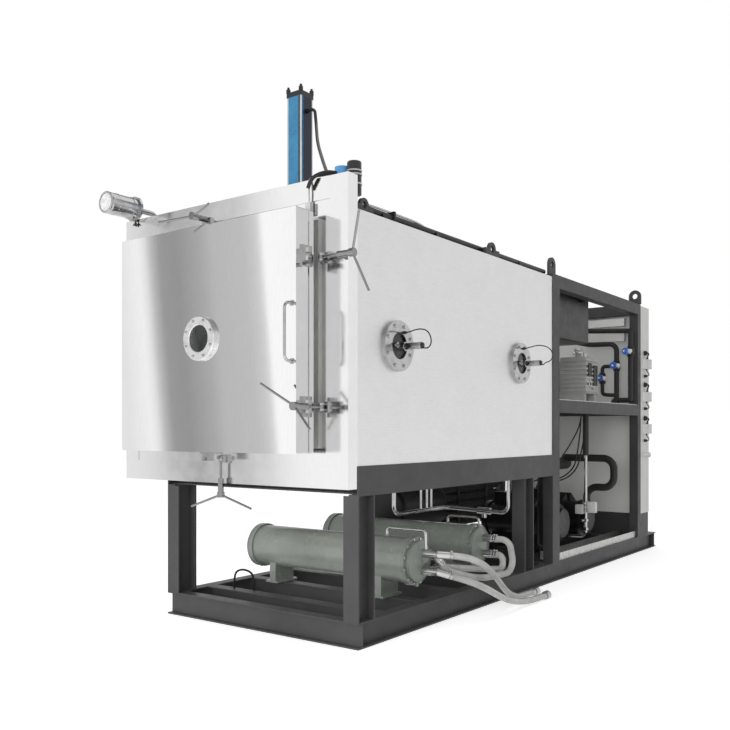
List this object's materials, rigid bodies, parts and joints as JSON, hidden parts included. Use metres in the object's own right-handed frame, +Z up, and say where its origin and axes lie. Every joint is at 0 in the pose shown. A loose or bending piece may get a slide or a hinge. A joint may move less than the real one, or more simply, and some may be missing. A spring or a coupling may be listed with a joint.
{
  "type": "freeze dryer",
  "caption": "Vacuum freeze dryer with an insulated rectangular chamber, a swing-bolt door, shelves on a stoppering ram, condensers and a machinery rack on a steel skid.",
  "frame": {"origin": "centre of the skid's underside, on the floor", "axes": "+Z up, +X to the right of someone facing the door, the door faces -Y"},
  "size_m": [2.0665, 5.3036, 3.347],
  "materials": {
    "frame_paint": "matt",
    "galvanised": "zinc plated",
    "stainless": "brushed",
    "casing_sheet": "satin",
    "seal": "matt",
    "window": "clear",
    "polished_steel": "polished",
    "blue_paint": "gloss",
    "green_paint": "satin",
    "clear_hose": "translucent",
    "light_paint": "satin",
    "black_paint": "satin"
  },
  "bodies": {
    "root": {"cabinet_shell": "light_paint", "cable_tray": "galvanised", "chamber_bearers": "frame_paint", "chamber_supports": "frame_paint", "compressors": "black_paint", "condenser_covers": "green_paint", "condenser_shells": "green_paint", "coolant_pipes": "polished_steel", "coupling_return": "galvanised", "coupling_supply": "galvanised", "door_gasket": "seal", "frame_brackets": "stainless", "front_frame": "stainless", "guide_rods": "stainless", "hose_bridge": "clear_hose", "hose_link": "clear_hose", "hose_return": "clear_hose", "hose_supply": "clear_hose", "hydraulic_lines": "black_paint", "ice_coil": "stainless", "insulated_casing": "casing_sheet", "lamp_housing": "stainless", "lifting_lugs": "frame_paint", "oil_separator": "black_paint", "pivot_pins": "polished_steel", "port_flanges": "stainless", "port_glasses": "window", "port_lamps": "polished_steel", "pump_deck": "galvanised", "rack_posts": "frame_paint", "rack_rails": "frame_paint", "ram_barrel": "blue_paint", "ram_head_and_tie_rods": "polished_steel", "refrigerant_lines": "black_paint", "shelf_fixed": "stainless", "skid_cross_beams": "frame_paint", "skid_side_beams": "frame_paint", "top_pipes": "stainless", "vacuum_pump": "light_paint", "valve_cylinder": "stainless", "vessel": "stainless"},
    "door": {"door_leaf": "stainless", "sight_glass": "window", "sight_glass_ring": "stainless", "door_handle": "polished_steel", "door_brackets": "stainless"},
    "swing_bolt_right_low": {"swing_bolt_right_low": "polished_steel"},
    "clamp_nut_right_low": {"clamp_nut_right_low": "polished_steel"},
    "swing_bolt_right_high": {"swing_bolt_right_high": "polished_steel"},
    "clamp_nut_right_high": {"clamp_nut_right_high": "polished_steel"},
    "swing_bolt_bottom": {"swing_bolt_bottom": "polished_steel"},
    "clamp_nut_bottom": {"clamp_nut_bottom": "polished_steel"},
    "swing_bolt_top": {"swing_bolt_top": "polished_steel"},
    "clamp_nut_top": {"clamp_nut_top": "polished_steel"},
    "ram": {"pressure_plate": "stainless"},
    "shelf_1": {"shelf_1": "stainless"},
    "shelf_2": {"shelf_2": "stainless"},
    "shelf_3": {"shelf_3": "stainless"},
    "isolation_valve": {"isolation_valve": "stainless"},
    "cabinet_door": {"cabinet_door": "light_paint"}
  },
  "joints": [
    {"name": "door_hinge", "type": "hinge", "parent": "root", "child": "door", "pos_m": [-0.9, -2.6, 1.6675], "axis": [0, 0, 1], "range_deg": [-110, 0]},
    {"name": "swing_right_low", "type": "hinge", "parent": "root", "child": "swing_bolt_right_low", "pos_m": [0.59, -2.565, 1.2755], "axis": [0, 0, 1], "range_deg": [0, 90]},
    {"name": "nut_right_low", "type": "hinge", "parent": "swing_bolt_right_low", "child": "clamp_nut_right_low", "pos_m": [0.59, -2.565, 1.2755], "axis": [0, -1, 0], "continuous": true},
    {"name": "swing_right_high", "type": "hinge", "parent": "root", "child": "swing_bolt_right_high", "pos_m": [0.59, -2.565, 2.0595], "axis": [0, 0, 1], "range_deg": [-90, 0]},
    {"name": "nut_right_high", "type": "hinge", "parent": "swing_bolt_right_high", "child": "clamp_nut_right_high", "pos_m": [0.59, -2.565, 2.0595], "axis": [1, 0, 0], "continuous": true},
    {"name": "swing_bottom", "type": "hinge", "parent": "root", "child": "swing_bolt_bottom", "pos_m": [-0.155, -2.565, 0.9905], "axis": [1, 0, 0], "range_deg": [-90, 0]},
    {"name": "nut_bottom", "type": "hinge", "parent": "swing_bolt_bottom", "child": "clamp_nut_bottom", "pos_m": [-0.155, -2.565, 0.9905], "axis": [0, 0, -1], "continuous": true},
    {"name": "swing_top", "type": "hinge", "parent": "root", "child": "swing_bolt_top", "pos_m": [-0.155, -2.565, 2.3445], "axis": [1, 0, 0], "range_deg": [-90, 0]},
    {"name": "nut_top", "type": "hinge", "parent": "swing_bolt_top", "child": "clamp_nut_top", "pos_m": [-0.155, -2.565, 2.3445], "axis": [0, -1, 0], "continuous": true},
    {"name": "ram_slide", "type": "slide", "parent": "root", "child": "ram", "axis": [0, 0, -1], "range_m": [0, 0.36]},
    {"name": "shelf_1_slide", "type": "slide", "parent": "root", "child": "shelf_1", "axis": [0, 0, -1], "range_m": [0, 0.09]},
    {"name": "shelf_2_slide", "type": "slide", "parent": "root", "child": "shelf_2", "axis": [0, 0, -1], "range_m": [0, 0.18]},
    {"name": "shelf_3_slide", "type": "slide", "parent": "root", "child": "shelf_3", "axis": [0, 0, -1], "range_m": [0, 0.27]},
    {"name": "valve_slide", "type": "slide", "parent": "root", "child": "isolation_valve", "axis": [0, -1, 0], "range_m": [0, 0.15]},
    {"name": "cabinet_hinge", "type": "hinge", "parent": "root", "child": "cabinet_door", "pos_m": [-0.659, 2.237, 1.34], "axis": [0, 0, 1], "range_deg": [0, 110]}
  ],
  "couplings": [
    {"joint": "shelf_1_slide", "follows": "ram_slide", "ratio": 0.25},
    {"joint": "shelf_2_slide", "follows": "ram_slide", "ratio": 0.5},
    {"joint": "shelf_3_slide", "follows": "ram_slide", "ratio": 0.75}
  ]
}
